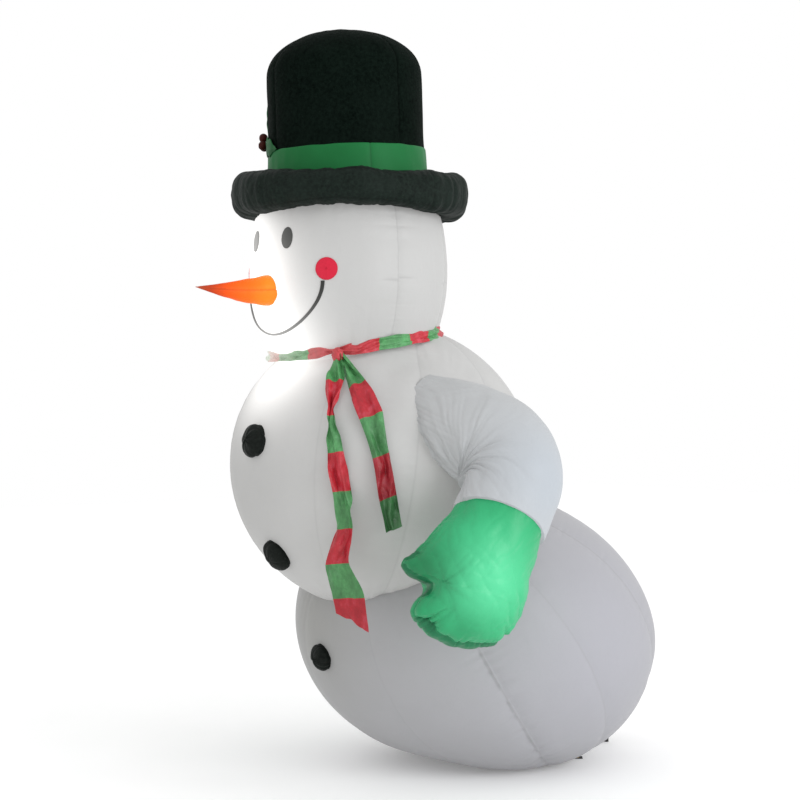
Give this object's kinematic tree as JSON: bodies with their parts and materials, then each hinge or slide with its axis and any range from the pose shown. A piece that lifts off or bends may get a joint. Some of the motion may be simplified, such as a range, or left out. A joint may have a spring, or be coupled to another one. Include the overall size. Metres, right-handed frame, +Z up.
{
  "type": "inflatable yard snowman",
  "caption": "Air-blown fabric snowman with top hat, carrot nose, scarf, mittens and buttons, held up by a blower in its base and anchored by eyelets and rings.",
  "frame": {"origin": "on the ground under the middle of the base, in the plane that the base rests on", "axes": "+Z up, -Y the way the snowman faces, +X towards the snowman's left"},
  "size_m": [1.67, 1.7269, 2.4281],
  "materials": {
    "white_fabric": "thin coated polyester, lit from inside",
    "base_fabric": "coated base cloth",
    "black_fabric": "thin coated polyester",
    "green_band": "thin coated polyester",
    "mitten_green": "thin coated polyester",
    "holly_green": "printed fabric",
    "berry_red": "stuffed fabric",
    "carrot_orange": "thin coated polyester",
    "cheek_pink": "thin coated polyester",
    "scarf_fabric": "red and green striped taffeta",
    "black_plastic": "moulded",
    "grey_plastic": "moulded",
    "steel": "plated",
    "motor_paint": "painted",
    "black_rubber": "moulded",
    "webbing": "woven strap",
    "white_plastic": "moulded",
    "brass": "plated",
    "bulb_glass": "clear"
  },
  "bodies": {
    "base": {"blower_feet": "black_rubber", "blower_housing_front": "black_plastic", "blower_housing_rear": "black_plastic", "blower_sleeve": "white_fabric", "button_bottom": "black_fabric", "cable_gland": "black_rubber", "floor_panel": "base_fabric", "housing_screws": "steel", "inlet_grille": "black_plastic", "lower_body": "white_fabric", "motor": "motor_paint", "sleeve_strap": "webbing", "stake_grommet_left": "brass", "stake_grommet_right": "brass", "stake_tab_left": "webbing", "stake_tab_right": "webbing", "zipper_coil": "white_plastic", "zipper_tape": "white_fabric"},
    "upper": {"button_middle": "black_fabric", "button_top": "black_fabric", "cheek_left": "cheek_pink", "cheek_right": "cheek_pink", "eye_left": "black_fabric", "eye_right": "black_fabric", "hat_band": "green_band", "hat_brim": "black_fabric", "hat_crown": "black_fabric", "head": "white_fabric", "holly_berries": "berry_red", "holly_leaf_left": "holly_green", "holly_leaf_right": "holly_green", "holly_leaf_upright": "holly_green", "lamp_bulb_base": "bulb_glass", "lamp_bulb_head": "bulb_glass", "lamp_bulb_torso": "bulb_glass", "lamp_holder_base": "black_plastic", "lamp_holder_head": "black_plastic", "lamp_holder_torso": "black_plastic", "lamp_tab_base": "white_fabric", "lamp_tab_head": "white_fabric", "lamp_tab_torso": "white_fabric", "mouth": "black_fabric", "nose": "carrot_orange", "scarf_knot": "scarf_fabric", "scarf_wrap": "scarf_fabric", "tether_patch_left": "white_fabric", "tether_patch_right": "white_fabric", "torso": "white_fabric"},
    "left_arm": {"arm_left": "white_fabric", "mitten_left": "mitten_green"},
    "right_arm": {"arm_right": "white_fabric", "mitten_right": "mitten_green"},
    "long_tail": {"scarf_tail_long": "scarf_fabric"},
    "short_tail": {"scarf_tail_short": "scarf_fabric"},
    "fan": {"impeller": "grey_plastic", "impeller_shaft": "steel"},
    "slider": {"zipper_slider": "steel", "zipper_pull": "steel"},
    "left_ring": {"tether_ring_left": "steel"},
    "right_ring": {"tether_ring_right": "steel"}
  },
  "joints": [
    {"name": "waist_sway", "type": "hinge", "parent": "base", "child": "upper", "pos_m": [0, -0.461, 1.025], "axis": [1, 0, 0], "range_deg": [-3, 3], "stiffness_Nm_per_rad": 150},
    {"name": "left_arm_swing", "type": "hinge", "parent": "upper", "child": "left_arm", "pos_m": [0.34, -0.55, 1.2], "axis": [0.866, -0.2267, 0.4457], "range_deg": [-5, 8], "stiffness_Nm_per_rad": 20},
    {"name": "right_arm_swing", "type": "hinge", "parent": "upper", "child": "right_arm", "pos_m": [-0.34, -0.55, 1.2], "axis": [0.866, 0.2267, -0.4457], "range_deg": [-8, 5], "stiffness_Nm_per_rad": 20},
    {"name": "long_tail_swing", "type": "hinge", "parent": "upper", "child": "long_tail", "pos_m": [0.21065, -0.79161, 1.38324], "axis": [-0.788, -0.6157, 0], "range_deg": [0, 30]},
    {"name": "short_tail_swing", "type": "hinge", "parent": "upper", "child": "short_tail", "pos_m": [0.21065, -0.79161, 1.38324], "axis": [-0.8829, -0.4695, 0], "range_deg": [0, 14]},
    {"name": "impeller_spin", "type": "hinge", "parent": "base", "child": "fan", "pos_m": [0, 0.47, 0.127], "axis": [0, 1, 0], "continuous": true},
    {"name": "zipper_travel", "type": "hinge", "parent": "base", "child": "slider", "pos_m": [0, -0.065, 0.46], "axis": [0, 0.2672, 0.9636], "range_deg": [-25, 0]},
    {"name": "left_ring_swing", "type": "hinge", "parent": "upper", "child": "left_ring", "pos_m": [0.17407, 0.01735, 1.05076], "axis": [0.9397, -0.342, 0], "range_deg": [0, 80]},
    {"name": "right_ring_swing", "type": "hinge", "parent": "upper", "child": "right_ring", "pos_m": [-0.17407, 0.01735, 1.05076], "axis": [0.9397, 0.342, 0], "range_deg": [0, 80]}
  ]
}
